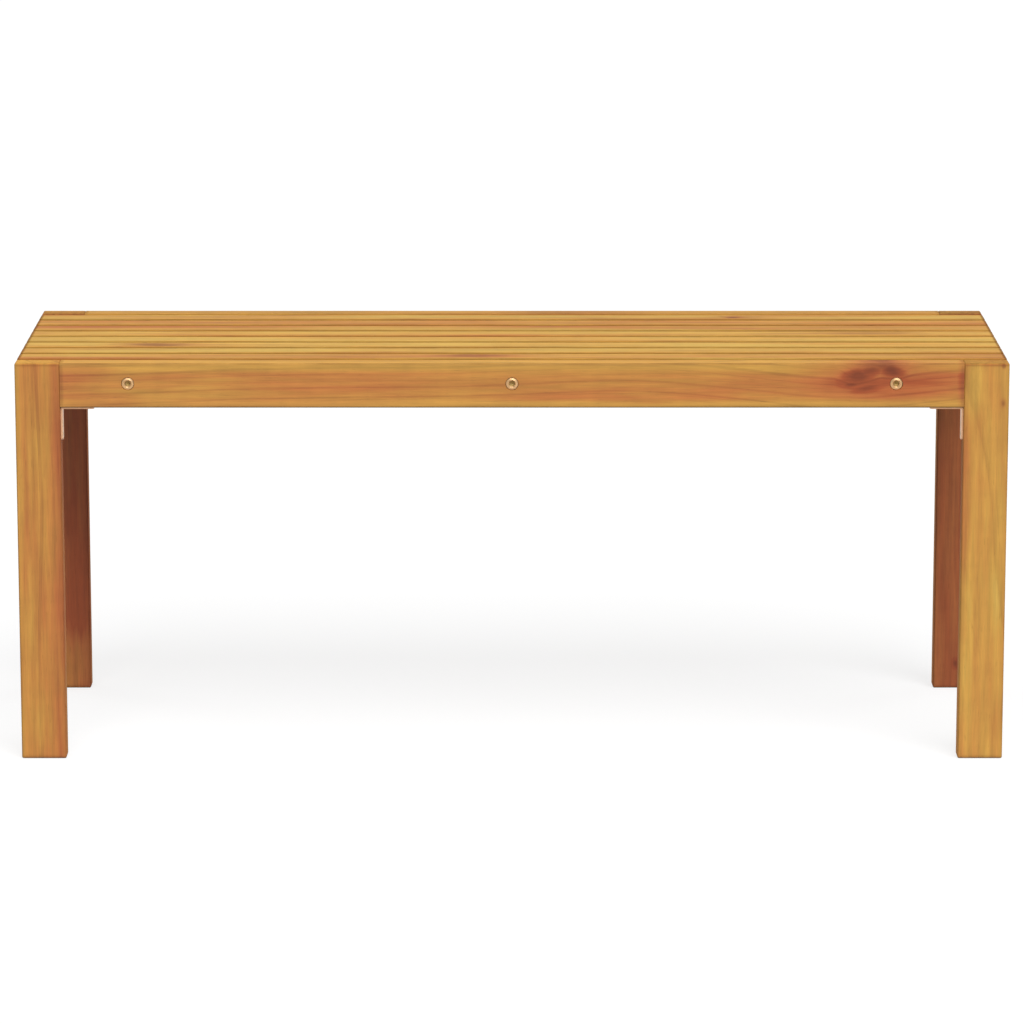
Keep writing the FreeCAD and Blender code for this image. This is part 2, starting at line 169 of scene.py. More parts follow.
APRONS = {
    "front_apron": Board(
        X, Z, 0.66, 0.97, pith=(-150 * MM, 60 * MM), low_sap=0.85, high_sap=0.85, sap=13.5 * MM,
        gap="rear", rim=0.62,
        knots=(Knot(0.382, 0.010, 12 * MM, 8 * MM, turn=0.3, depth=0.9),
               Knot(0.375, 0.001, 7 * MM, 2.6 * MM, turn=0.1, depth=0.7),
               Knot(0.397, 0.018, 14 * MM, 5 * MM, turn=0.32, depth=0.8),
               Knot(0.420, 0.0185, 11 * MM, 6.5 * MM, turn=-0.40, depth=1.0),
               Knot(0.409, 0.0225, 22 * MM, 4.5 * MM, depth=0.8),
               Knot(0.392, -0.003, 11 * MM, 3 * MM, turn=0.15, depth=0.75)),
        streaks=(Streak(0.415, 0.006, 95 * MM, 25 * MM, 0.60),
                 Streak(0.498, 0.000, 5 * MM, 40 * MM, 0.30),
                 Streak(0.250, -0.010, 90 * MM, 9 * MM, 0.25),
                 Streak(-0.124, -0.004, 160 * MM, 16 * MM, 0.25),
                 Streak(-0.462, -0.018, 50 * MM, 11 * MM, 0.42),
                 Streak(-0.480, 0.016, 45 * MM, 8 * MM, 0.40),
                 Streak(-0.445, 0.000, 60 * MM, 12 * MM, -0.30),
                 Streak(-0.300, -0.020, 150 * MM, 6 * MM, 0.25))),
    "rear_apron": Board(
        X, Z, 0.54, 0.79, pith=(130 * MM, 50 * MM), high_sap=0.6, gap="front", dust=0.10, rim=0.3,
        knots=(Knot(0.045, 0.020, 60 * MM, 8 * MM, depth=0.35),)),
}

SLATS = {
    "slat_1": slat(
        0.26, 0.94, pith=(60 * MM, 45 * MM), dust=0.3,
        knots=(Knot(-0.041, 0.002, 42 * MM, 10 * MM, turn=0.04, depth=0.55),),
        streaks=(Streak(0.000, -0.015, 600 * MM, 7 * MM, -0.5),)),
    "slat_2": slat(
        0.04, 0.92, pith=(-45 * MM, 70 * MM),
        streaks=(Streak(-0.360, 0.000, 180 * MM, 30 * MM, -0.45),)),
    "slat_3": slat(
        -0.14, 0.96, pith=(30 * MM, 90 * MM),
        knots=(Knot(-0.402, 0.000, 38 * MM, 10 * MM, turn=-0.03, depth=0.75),)),
    "slat_4": slat(-0.24, 0.97, pith=(-90 * MM, 60 * MM)),
    "slat_5": slat(
        -0.06, 0.97, pith=(75 * MM, 55 * MM),
        knots=(Knot(0.412, 0.002, 60 * MM, 12 * MM, turn=0.03, depth=0.42),)),
    "slat_6": slat(
        0.22, 0.92, pith=(-60 * MM, 80 * MM),
        streaks=(Streak(-0.380, 0.000, 160 * MM, 30 * MM, 0.35),
                 Streak(0.000, -0.015, 600 * MM, 7 * MM, -0.4))),
    "slat_7": slat(0.26, 0.95, pith=(50 * MM, 60 * MM)),
    "slat_8": slat(
        0.22, 0.91, pith=(-35 * MM, 75 * MM),
        knots=(Knot(0.258, -0.002, 9 * MM, 6 * MM, depth=1.0),
               Knot(0.262, 0.002, 34 * MM, 11 * MM, depth=0.3))),
}

BEARERS = {
    "cross_batten_left": Board(Y, X, 0.50, 0.92, pith=(60 * MM, 50 * MM)),
    "cross_batten_centre": Board(Y, X, 0.40, 0.95, pith=(-70 * MM, 60 * MM)),
    "cross_batten_right": Board(Y, X, 0.58, 0.90, pith=(45 * MM, 80 * MM)),
    "end_rail_left": Board(Y, Z, 0.46, 0.95, pith=(80 * MM, 55 * MM)),
    "end_rail_right": Board(Y, Z, 0.36, 0.98, pith=(-65 * MM, 65 * MM)),
}

DOWELS = Board(X, Z, 0.20, 1.10)


class WoodSettings(bpy.types.PropertyGroup):
    """Colours and figure of the oiled boards."""

    straw: bpy.props.FloatVectorProperty(
        name="Straw", description="Colour of the palest, yellowest wood",
        size=3, subtype="COLOR", min=0, max=1, default=srgb(222, 178, 82))
    gold: bpy.props.FloatVectorProperty(
        name="Gold", description="Colour of the golden wood",
        size=3, subtype="COLOR", min=0, max=1, default=srgb(220, 166, 72))
    honey: bpy.props.FloatVectorProperty(
        name="Honey", description="Colour of the middle tones",
        size=3, subtype="COLOR", min=0, max=1, default=srgb(208, 141, 63))
    rose: bpy.props.FloatVectorProperty(
        name="Rose", description="Colour of the reddest heartwood",
        size=3, subtype="COLOR", min=0, max=1, default=srgb(201, 116, 58))
    # Also the colour that the painted shade on the rear legs' front faces runs into
    russet: bpy.props.FloatVectorProperty(
        name="Russet", description="Colour of the darkest heartwood",
        size=3, subtype="COLOR", min=0, max=1, default=srgb(178, 86, 42))
    knot: bpy.props.FloatVectorProperty(
        name="Knot", description="Colour at the middle of a knot",
        size=3, subtype="COLOR", min=0, max=1, default=srgb(120, 54, 26))
    # Painted shade: the dark colour laid along the rounded edges and on the last bit before the ends of the
    # boards
    painted_shade: bpy.props.FloatVectorProperty(
        name="Oil", description="Colour of the thick oil along the edges and at the tips",
        size=3, subtype="COLOR", min=0, max=1, default=srgb(108, 60, 24))
    # Painted shade: the dark colour that the sides of the boards facing the seat's gaps are darkened
    # towards, where shade falls between them
    gap_shading: bpy.props.FloatVectorProperty(
        name="Grime", description="Colour of the dust and old oil in the gaps of the seat",
        size=3, subtype="COLOR", min=0, max=1, default=srgb(122, 74, 26))
    ring: bpy.props.FloatProperty(
        name="Growth ring", description="Usual width of one growth ring",
        unit="LENGTH", min=1 * MM, max=20 * MM, default=4.5 * MM)
    pore: bpy.props.FloatProperty(
        name="Pore length", description="Length of the fine dark pores along the grain",
        unit="LENGTH", min=2 * MM, max=40 * MM, default=14 * MM)
    # Width of the strip of painted shade along each rounded edge
    edge_shade_width: bpy.props.FloatProperty(
        name="Edge", description="Width of the darker strip along each rounded edge, where the oil gathers",
        unit="LENGTH", min=0, max=10 * MM, default=2.6 * MM)


class MetalSettings(bpy.types.PropertyGroup):
    """Colours of the plated fasteners."""

    bolt: bpy.props.FloatVectorProperty(
        name="Bolts", description="Colour of the yellow-plated bolts",
        size=3, subtype="COLOR", min=0, max=1, default=srgb(228, 184, 132))
    # Painted shade in the recess of each bolt's socket
    socket: bpy.props.FloatVectorProperty(
        name="Sockets", description="Colour of the oil in the bolts' sockets",
        size=3, subtype="COLOR", min=0, max=1, default=srgb(164, 146, 80))
    bracket: bpy.props.FloatVectorProperty(
        name="Brackets", description="Colour of the plated corner brackets",
        size=3, subtype="COLOR", min=0, max=1, default=srgb(240, 190, 146))
    screw: bpy.props.FloatVectorProperty(
        name="Screws", description="Colour of the plated wood screws",
        size=3, subtype="COLOR", min=0, max=1, default=srgb(214, 180, 120))
    nut: bpy.props.FloatVectorProperty(
        name="Nuts", description="Colour of the barrel nuts",
        size=3, subtype="COLOR", min=0, max=1, default=srgb(200, 200, 198))
    roughness: bpy.props.FloatProperty(
        name="Roughness", description="Dullness of the plating",
        subtype="FACTOR", min=0, max=1, default=0.42)


class StageSettings(bpy.types.PropertyGroup):
    """Floor, light and camera."""

    floor: bpy.props.FloatVectorProperty(
        name="Floor", description="Colour of the floor",
        size=3, subtype="COLOR", min=0, max=1, default=(0.25, 0.25, 0.25))
    floor_glow: bpy.props.FloatProperty(
        name="Floor glow",
        description="Light that the floor adds to its own look, which keeps shadows faint",
        min=0, max=2, default=0.76)
    bounce: bpy.props.FloatProperty(
        name="Bounce", description="Share of the light that comes back up from the floor to the bench",
        subtype="FACTOR", min=0, max=1, default=0.35)
    floor_radius: bpy.props.FloatProperty(
        name="Floor radius", description="Distance from the bench to the edge of the floor",
        unit="LENGTH", min=5, max=100, default=40)
    sky: bpy.props.FloatProperty(
        name="Sky", description="Strength of the even light from all around", min=0, max=5, default=0.35)
    key: bpy.props.FloatProperty(
        name="Key", description="Strength of the main light", min=0, max=20, default=2.95)
    key_height: bpy.props.FloatProperty(
        name="Key height", description="Angle of the main light above the floor",
        subtype="ANGLE", min=0, max=math.pi / 2, default=math.radians(50))
    key_side: bpy.props.FloatProperty(
        name="Key side", description="Angle of the main light to the right of the bench's front",
        subtype="ANGLE", min=-math.pi, max=math.pi, default=math.radians(15))
    key_width: bpy.props.FloatProperty(
        name="Key width", description="Angle that the main light fills, which softens shadows",
        subtype="ANGLE", min=0, max=math.pi, default=math.radians(50))
    fill: bpy.props.FloatProperty(
        name="Fill", description="Strength of each of the two weak lights from behind",
        min=0, max=5, default=0.60)
    fill_height: bpy.props.FloatProperty(
        name="Fill height", description="Angle of the weak lights above the floor",
        subtype="ANGLE", min=0, max=math.pi / 2, default=math.radians(12))
    fill_side: bpy.props.FloatProperty(
        name="Fill side", description="Angle of the weak lights to either side of the bench's front",
        subtype="ANGLE", min=0, max=math.pi, default=math.radians(125))
    fill_width: bpy.props.FloatProperty(
        name="Fill width", description="Angle that each weak light fills",
        subtype="ANGLE", min=0, max=math.pi, default=math.radians(24))
    camera_distance: bpy.props.FloatProperty(
        name="Camera distance", description="Distance of the camera in front of the bench's middle",
        unit="LENGTH", min=1, max=20, default=5.6502)
    camera_height: bpy.props.FloatProperty(
        name="Camera height", description="Height of the camera above the floor",
        unit="LENGTH", min=0, max=5, default=1.4075)
    camera_pitch: bpy.props.FloatProperty(
        name="Camera pitch", description="How far the camera looks down",
        subtype="ANGLE", min=0, max=math.pi / 2, default=math.radians(11.622))
    camera_lens: bpy.props.FloatProperty(
        name="Camera lens", description="Focal length of the camera, in millimetres",
        min=10, max=500, default=176.68)


class Socket:
    """An output socket of a material's node; arithmetic on it adds Math nodes."""

    def __init__(self, graph, socket):
        self.graph = graph
        self.socket = socket

    def math(self, operation, *values):
        return self.graph.add("ShaderNodeMath", {"operation": operation}, dict(enumerate(values)))

    def __add__(self, other):
        return self.math("ADD", self, other)

    def __radd__(self, other):
        return self.math("ADD", other, self)

    def __sub__(self, other):
        return self.math("SUBTRACT", self, other)

    def __rsub__(self, other):
        return self.math("SUBTRACT", other, self)

    def __mul__(self, other):
        return self.math("MULTIPLY", self, other)

    def __rmul__(self, other):
        return self.math("MULTIPLY", other, self)

    def __truediv__(self, other):
        return self.math("DIVIDE", self, other)

    def __abs__(self):
        return self.math("ABSOLUTE", self)

    def at_least(self, other):
        return self.math("MAXIMUM", self, other)

    def at_most(self, other):
        return self.math("MINIMUM", self, other)

    def root(self):
        return self.math("SQRT", self)


# Where a Mix node keeps its two colours and their blend
MIX_FIRST, MIX_SECOND = 6, 7
MIX_RESULT = 2


class Graph:
    """The node tree of one new material."""

    def __init__(self, name):
        self.material = bpy.data.materials.new(name)
        self.material.use_nodes = True
        self.tree = self.material.node_tree
        self.tree.nodes.clear()

    def add(self, kind, settings=None, inputs=None, output=0):
        """Adds a node, gives it its settings and then its inputs, and returns one of its outputs."""
        node = self.tree.nodes.new(kind)
        for name, value in (settings or {}).items():
            if name == "stops":
                self.fill_ramp(node.color_ramp.elements, value)
            else:
                setattr(node, name, value)
        for key, value in (inputs or {}).items():
            if isinstance(value, Socket):
                self.tree.links.new(value.socket, node.inputs[key])
            else:
                node.inputs[key].default_value = value
        return Socket(self, node.outputs[output]) if node.outputs else None

    def fill_ramp(self, elements, stops):
        while len(elements) < len(stops):
            elements.new(1.0)
        for element, (position, colour) in zip(elements, stops):
            element.position = position
            element.color = opaque(colour)

    def split(self, vector):
        """The three parts of a vector."""
        first = self.add("ShaderNodeSeparateXYZ", inputs={0: vector})
        node = first.socket.node
        return [Socket(self, output) for output in node.outputs]

    def join(self, x, y, z):
        """A vector from three values."""
        return self.add("ShaderNodeCombineXYZ", inputs={0: x, 1: y, 2: z})

    def noise(self, vector, scale=1.0, detail=2.0, roughness=0.5):
        """Noise from 0 to 1 at a vector."""
        return self.add("ShaderNodeTexNoise", {"noise_dimensions": "3D"},
                        {"Vector": vector, "Scale": scale, "Detail": detail, "Roughness": roughness})

    def noise_along(self, value, scale, detail=2.0, roughness=0.5):
        """Noise from 0 to 1 at a single value."""
        return self.add("ShaderNodeTexNoise", {"noise_dimensions": "1D"},
                        {"W": value, "Scale": scale, "Detail": detail, "Roughness": roughness})

    def fade(self, value, start, end):
        """Smooth step from 0 at start to 1 at end, which may be the lower one."""
        if start < end:
            return self.add("ShaderNodeMapRange", {"interpolation_type": "SMOOTHSTEP"},
                            {"Value": value, "From Min": start, "From Max": end})
        return 1 - self.fade(value, end, start)

    def ramp(self, value, stops):
        return self.add("ShaderNodeValToRGB", {"stops": stops}, {0: value})

    def mix(self, share, first, second):
        """Blend of two colours."""
        return self.add("ShaderNodeMix", {"data_type": "RGBA"},
                        {0: share, MIX_FIRST: first, MIX_SECOND: second}, output=MIX_RESULT)

    def scale(self, colour, value):
        """A colour made lighter or darker by a value."""
        return self.add("ShaderNodeVectorMath", {"operation": "SCALE"}, {0: colour, "Scale": value})

    def bump(self, height, distance, strength):
        """Normal of a surface that is raised by height times distance."""
        return self.add("ShaderNodeBump",
                        inputs={"Strength": strength, "Distance": distance, "Height": height})

    def finish(self, inputs):
        """Adds the surface shader with these inputs and the output, and returns the material."""
        shader = self.add("ShaderNodeBsdfPrincipled", inputs=inputs)
        self.add("ShaderNodeOutputMaterial", inputs={"Surface": shader})
        return self.material


class Pattern:
    """Noise drawn out along the grain: how often it changes in a metre along the grain, across the broad
    side and through the board, and how fine and strong its detail is."""

    def __init__(self, along, across, through, detail=2.0, roughness=0.5):
        self.along = along
        self.across = across
        self.through = through
        self.detail = detail
        self.roughness = roughness


KNOT_EDGE = Pattern(45, 110, 60, detail=3.0)
RING_EDGE = Pattern(7, 60, 60)
PATCHES = Pattern(5, 45, 45, detail=3.0, roughness=0.55)
STREAKS = Pattern(9, 190, 190, detail=3.0, roughness=0.6)
FIBRES = Pattern(38, 900, 900, roughness=0.6)
FIGURE = Pattern(60, 22, 22)
EDGE_SHADE_BREAKS = Pattern(14, 90, 90)
PORES_ACROSS = 1500

# Where a mask is 0 and where it is 1, on the scale of the noise, slope or distance that it is made from
LATE_WOOD = (0.50, 0.72)
PORE = (0.66, 0.78)
EDGE_SHADE_BREAK_RANGE = (0.62, 0.32)
END_FACE = (0.3, 0.75)
NARROW_SIDE = (0.5, 0.9)
GAP_SIDE = (0.10, 0.7)
TIP = (-5 * MM, -1.8 * MM)
KNOT_CORE = (1.5, 0.2)
KNOT_GLOW = (2.4, 0.6)
KNOT_SWIRL = (2.6, 0.3)
STREAK_AREA = (1.4, 0.4)

# Spacing of the boards in the noise, so that no two have the same figure
SEED_STEP = 1.7

# How often in a metre the log's middle turns to either side and up or down, and how far it strays
WANDER_RATE, WANDER = 1.9, 34 * MM
DRIFT_RATE, DRIFT = 2.3, 26 * MM
DRIFT_START = 31.7

# Growth rings: how far their edges stray, and how often they and their broad bands come in a ring's width
RING_STRAY = 2.4 * MM
RING_RATE = 0.9
BAND_RATE = 0.16

# Knots: how ragged they are, how far they push the rings aside, how dark they are and how red around
KNOT_RAGGED = 1.3
KNOT_PUSH = 0.8
KNOT_DARKNESS = 0.8
KNOT_WARMTH = 0.5

STREAK_RAGGED = 0.8

# Sapwood: how ragged its border is, where it has its full strength, and how much brighter it is
SAP_RAGGED = 8 * MM
SAP_FULL = 0.3
SAP_BRIGHTNESS = 0.05

# Share of its warmth that end grain loses
END_PALE = 0.6

# Where the tones lie on the scale from straw, at 0, to russet, at 1
GOLD_PLACE = 0.22
HONEY_PLACE = 0.52
ROSE_PLACE = 0.82

# Painted shade along the edges, in widths of the strip: where it is full, and how far its soft border
# reaches
EDGE_SHADE_FULL = 0.3
EDGE_SHADE_SOFT = 2.6
EDGE_SHADE_SOFT_SHARE = 0.4
EDGE_SHADE_BROKEN_SHARE = 0.3

# How much each feature of the wood changes its warmth, its brightness, its roughness and its relief
WARMTH_OF = {"bands": 1.5, "patches": 1.8, "late": 0.12}
BRIGHTNESS_OF = {"late": -0.14, "pores": -0.24, "streaks": 0.62, "fibres": 0.26, "figure": 0.14}
ROUGHNESS_OF = {"fibres": 0.16, "pores": 0.12, "end": 0.18, "painted_shade": 0.5}
RELIEF_OF = {"fibres": 0.35, "streaks": 0.3, "late": -0.25, "pores": -0.6}

# Extra roughness where the painted gap shade lies
GAP_SHADE_ROUGHNESS = 0.4
RELIEF_DEPTH = 0.12 * MM
RELIEF_STRENGTH = 0.8
OILED_SPECULAR = 0.4


class Wood(Graph):
    """Oiled wood for one board, sawn from a log whose middle lies beside the board."""

    def __init__(self, name, board, low, high, seed):
        super().__init__(name)
        self.board = board
        self.look = bpy.context.scene.bench_wood
        middle = (low + high) / 2
        self.half = (high - low) / 2
        place = self.split(self.add("ShaderNodeTexCoord", output="Object"))
        self.from_middle = [part - centre for part, centre in zip(place, middle)]
        self.facing = self.split(self.add("ShaderNodeTexCoord", output="Normal"))
        self.along = self.from_middle[board.grain]
        self.across = self.from_middle[board.across]
        self.through = self.from_middle[board.through]
        self.shift = seed * SEED_STEP
        self.lengthwise = self.along + self.shift

    def pattern(self, kind):
        """A pattern's noise, from 0 to 1."""
        place = self.join(self.lengthwise * kind.along, self.across * kind.across,
                          self.through * kind.through)
        return self.noise(place, detail=kind.detail, roughness=kind.roughness)

    def total(self, strengths):
        """The wood's features, each times its strength, added up."""
        return sum(self.features[name] * strength for name, strength in strengths.items())

    def distance(self, spot):
        """Distance from the middle of a spot, which is 1 at its reach."""
        along = self.along - spot.along
        across = self.across - spot.across
        cosine = math.cos(spot.turn)
        sine = math.sin(spot.turn)
        length_part = (along * cosine + across * sine) / spot.length
        width_part = (across * cosine - along * sine) / spot.width
        return (length_part * length_part + width_part * width_part).root()

    def find_knots(self):
        """Masks of the knots' dark cores and of the glow round them, and how far they push the rings."""
        core = 0
        glow = 0
        push = 0
        stray = (self.pattern(KNOT_EDGE) - 0.5) * KNOT_RAGGED
        for knot in self.board.knots:
            distance = self.distance(knot)
            core = (self.fade(distance + stray, *KNOT_CORE) * knot.depth).at_least(core)
            glow = (self.fade(distance, *KNOT_GLOW) * knot.depth).at_least(glow)
            push = self.fade(distance, *KNOT_SWIRL) * (knot.width * knot.depth * KNOT_PUSH) + push
        return core, glow, push

    def find_rings(self, push):
        """Mask of the dark late wood of each growth ring, and noise in bands of several rings."""
        wander = (self.noise_along(self.lengthwise, WANDER_RATE, detail=1.0) - 0.5) * WANDER
        drift = (self.noise_along(self.lengthwise + DRIFT_START, DRIFT_RATE, detail=1.0) - 0.5) * DRIFT
        stray = (self.pattern(RING_EDGE) - 0.5) * RING_STRAY
        side_part = self.across - self.board.pith[0] + wander
        depth_part = self.through - self.board.pith[1] + drift
        radius = (side_part * side_part + depth_part * depth_part).root() + stray + push
        rings = self.noise_along(radius + self.shift, RING_RATE / self.look.ring, detail=3.0, roughness=0.65)
        bands = self.noise_along(radius + self.shift * 2, BAND_RATE / self.look.ring)
        return self.fade(rings, *LATE_WOOD), bands

    def find_edge_shade(self, end):
        """Mask of the painted shade along the rounded edges, broken up in places, and on the last bit before
        the ends.
        """
        board = self.board
        edge_shade_width = self.look.edge_shade_width
        reach = [abs(part) - limit for part, limit in zip(self.from_middle, self.half)]
        if board.butted:
            edge_distance = reach[board.across].at_most(reach[board.through])
        else:
            outer = reach[X].at_least(reach[Y])
            inner = reach[X].at_most(reach[Y])
            edge_distance = inner.at_least(outer.at_most(reach[Z]))
        edge = self.fade(edge_distance, -edge_shade_width, -edge_shade_width * EDGE_SHADE_FULL)
        soft = self.fade(edge_distance, -edge_shade_width * EDGE_SHADE_SOFT, 0.0)
        breaks = self.fade(self.pattern(EDGE_SHADE_BREAKS), *EDGE_SHADE_BREAK_RANGE)
        rim = edge * (breaks * EDGE_SHADE_BROKEN_SHARE + (1 - EDGE_SHADE_BROKEN_SHARE))
        tip = self.fade(abs(self.along) - self.half[board.grain], *TIP) * (1 - end)
        return (rim.at_least(soft * EDGE_SHADE_SOFT_SHARE) * board.rim).at_least(tip * board.tip)

    def find_features(self, push):
        """Masks from 0 to 1, and patterns that swing about 0, that the wood's look is added up from."""
        late, bands = self.find_rings(push)
        pores = self.pattern(Pattern(1 / self.look.pore, PORES_ACROSS, PORES_ACROSS, detail=1.0))
        end = self.fade(abs(self.facing[self.board.grain]), *END_FACE)
        return {
            "late": late,
            "bands": bands - 0.5,
            "patches": self.pattern(PATCHES) - 0.5,
            "streaks": self.pattern(STREAKS) - 0.5,
            "fibres": self.pattern(FIBRES) - 0.5,
            "figure": self.pattern(FIGURE) - 0.5,
            "pores": self.fade(pores, *PORE),
            "end": end,
            "painted_shade": self.find_edge_shade(end),
        }

    def find_tone(self, glow):
        """How warm and how bright the wood is."""
        board = self.board
        patches = self.features["patches"]
        brightness = self.total(BRIGHTNESS_OF) + board.value
        warmth = self.total(WARMTH_OF) * board.contrast + board.warmth
        warmth = warmth + self.across * (board.lean / self.half[board.across])
        # Painted shade: redder and darker towards the front face
        warmth = warmth - self.through * (board.heart / self.half[board.through])
        border = self.across + patches * SAP_RAGGED
        width = self.half[board.across]
        for edge, strength in ((border + width, board.low_sap), (width - border, board.high_sap)):
            if strength:
                sapwood = self.fade(edge, board.sap, board.sap * SAP_FULL)
                warmth = warmth * (1 - sapwood * strength)
                brightness = brightness + sapwood * SAP_BRIGHTNESS
        for streak in board.streaks:
            distance = self.distance(streak) + patches * STREAK_RAGGED
            warmth = warmth + self.fade(distance, *STREAK_AREA) * streak.warmth
        warmth = warmth + glow * KNOT_WARMTH
        end = self.features["end"]
        return warmth * (1 - end * END_PALE), brightness - end * board.end

    def towards_gap(self):
        """How far the surface faces a gap of the seat, up to 1."""
        if self.board.gap == "both":
            return abs(self.facing[Y])
        return self.facing[Y] * {"rear": 1, "front": -1}[self.board.gap]

    def oiled(self):
        """The finished material."""
        board = self.board
        look = self.look
        core, glow, push = self.find_knots()
        self.features = self.find_features(push)
        warmth, brightness = self.find_tone(glow)
        colour = self.ramp(warmth * (ROSE_PLACE - GOLD_PLACE) + GOLD_PLACE,
                           ((0.0, look.straw), (GOLD_PLACE, look.gold), (HONEY_PLACE, look.honey),
                            (ROSE_PLACE, look.rose), (1.0, look.russet)))
        colour = self.mix(core * KNOT_DARKNESS, colour, opaque(look.knot))
        # Painted shade along the edges and before the ends
        colour = self.mix(self.features["painted_shade"], colour, opaque(look.painted_shade))
        narrow = self.fade(abs(self.facing[board.across]), *NARROW_SIDE)
        roughness = self.total(ROUGHNESS_OF) + narrow * board.rough_edges + board.dullness
        # Painted shade on the sides that face the seat's gaps
        if board.gap:
            gap_shading = self.fade(self.towards_gap(), *GAP_SIDE)
            colour = self.mix(gap_shading * board.dust, colour, opaque(look.gap_shading))
            roughness = roughness + gap_shading * GAP_SHADE_ROUGHNESS
        return self.finish({
            "Base Color": self.scale(colour, brightness),
            "Roughness": roughness,
            "Normal": self.bump(self.total(RELIEF_OF), RELIEF_DEPTH, RELIEF_STRENGTH),
            "Specular IOR Level": OILED_SPECULAR})


# Plating: how often its brushed lines change in a metre across and along them, and its stains
BRUSHED_ACROSS = 2600
BRUSHED_ALONG = 140
STAIN_RATE = 320

# How bright the plating is, and how much the brushing and the stains change its brightness and roughness
PLATED_BRIGHTNESS = 0.94
BRUSHED_BRIGHTNESS = 0.14
STAIN_BRIGHTNESS = 0.26
BRUSHED_ROUGHNESS = 0.14
STAIN_ROUGHNESS = 0.22
BRUSHED_DEPTH = 0.02 * MM
BRUSHED_STRENGTH = 0.6
PLATED_METALLIC = 0.6

# Painted shade in the bolts' sockets: how far under the rim it begins, how soon it is full, and what it does
SOCKET_DROP = 1.0 * MM
SOCKET_FADE = 0.8 * MM
SOCKET_SHARE = 0.65
SOCKET_ROUGHNESS = 0.2


def plated(name, colour, seed, axis=Z, socket=None):
    """Plated steel with a brushed sheen along an axis and faint stains. Painted shade darkens the bolts'
    sockets, which begin at a distance from the bench's middle plane."""
    look = bpy.context.scene.bench_metal
    graph = Graph(name)
    parts = graph.split(graph.add("ShaderNodeTexCoord", output="Object"))
    rates = [BRUSHED_ACROSS, BRUSHED_ACROSS, BRUSHED_ACROSS]
    rates[axis] = BRUSHED_ALONG
    lines = graph.join(*[part * rate for part, rate in zip(parts, rates)])
    brushed = graph.noise(lines, roughness=0.6) - 0.5
    stains = graph.noise(graph.join(*[part * STAIN_RATE + seed for part in parts]), detail=3.0) - 0.5
    brightness = brushed * BRUSHED_BRIGHTNESS + stains * STAIN_BRIGHTNESS + PLATED_BRIGHTNESS
    roughness = brushed * BRUSHED_ROUGHNESS + stains * STAIN_ROUGHNESS + look.roughness
    surface = graph.scale((*colour,), brightness)
    # Painted shade in the bolts' sockets
    if socket:
        sunk = graph.fade(abs(parts[Y]), socket, socket - SOCKET_FADE)
        surface = graph.mix(sunk * SOCKET_SHARE, surface, opaque(look.socket))
        roughness = roughness + sunk * SOCKET_ROUGHNESS
    return graph.finish({
        "Base Color": surface,
        "Metallic": PLATED_METALLIC,
        "Roughness": roughness,
        "Normal": graph.bump(brushed, BRUSHED_DEPTH, BRUSHED_STRENGTH)})


def dress(node, material):
    """Gives a CAD node's object one material in all its slots."""
    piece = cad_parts[node]
    for slot in piece.material_slots:
        slot.material = material


def dress_boards(boards, first_seed):
    for number, (node, board) in enumerate(boards.items()):
        low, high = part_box(node)
        dress(node, Wood(node + "_oiled", board, low, high, first_seed + number).oiled())


class BENCH_OT_legs(bpy.types.Operator):
    """Oil the four legs"""
    bl_idname = "bench.legs"
    bl_label = "Legs"

    def execute(self, context):
        dress_boards(LEGS, first_seed=1)
        return {"FINISHED"}


class BENCH_OT_aprons(bpy.types.Operator):
    """Oil the front and the rear apron"""
    bl_idname = "bench.aprons"
    bl_label = "Aprons"

    def execute(self, context):
        dress_boards(APRONS, first_seed=11)
        return {"FINISHED"}


class BENCH_OT_slats(bpy.types.Operator):
    """Oil the eight seat slats"""
    bl_idname = "bench.slats"
    bl_label = "Slats"

    def execute(self, context):
        dress_boards(SLATS, first_seed=21)
        return {"FINISHED"}


class BENCH_OT_bearers(bpy.types.Operator):
    """Oil the cross battens and the end rails"""
    bl_idname = "bench.bearers"
    bl_label = "Bearers"

    def execute(self, context):
        dress_boards(BEARERS, first_seed=41)
        return {"FINISHED"}


class BENCH_OT_bolts(bpy.types.Operator):
    """Plate the frame bolts and their barrel nuts"""
    bl_idname = "bench.bolts"
    bl_label = "Bolts and nuts"

    def execute(self, context):
        look = context.scene.bench_metal
        _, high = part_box("frame_bolts")
        dress("frame_bolts", plated("yellow_zinc_bolts", look.bolt, seed=3.0, axis=Y,
                                    socket=high[Y] - SOCKET_DROP))
        dress("barrel_nuts", plated("white_zinc_nuts", look.nut, seed=5.0))
        return {"FINISHED"}


class BENCH_OT_brackets(bpy.types.Operator):
    """Plate the corner brackets and all wood screws"""
    bl_idname = "bench.brackets"
    bl_label = "Brackets and screws"

    def execute(self, context):
        look = context.scene.bench_metal
        steel = plated("yellow_zinc_brackets", look.bracket, seed=7.0, axis=Y)
        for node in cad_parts:
            if node.startswith("corner_bracket"):
                dress(node, steel)
        screws = plated("yellow_zinc_screws", look.screw, seed=9.0)
        dress("slat_screws", screws)
        dress("bracket_screws", screws)
        return {"FINISHED"}


class BENCH_OT_dowels(bpy.types.Operator):
    """Finish the beech dowels"""
    bl_idname = "bench.dowels"
    bl_label = "Dowels"

    def execute(self, context):
        low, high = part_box("dowels")
        dress("dowels", Wood("beech_dowels", DOWELS, low, high, seed=61).oiled())
        return {"FINISHED"}


# Depth of the seen floor and of the plane that sends light up to the bench, under the bench's feet
FLOOR_DROP = 0.2 * MM
BOUNCE_DROP = 0.4 * MM
FLOOR_ROUGHNESS = 0.9

# Faint clouds on the floor: how often they come in a metre, and how much they change its colour
CLOUD_RATE = 3.0
CLOUD_SHARE = 0.02

# The camera's sensor, in millimetres, and how far it sees, in metres
SENSOR_WIDTH = 36
SIGHT = 200


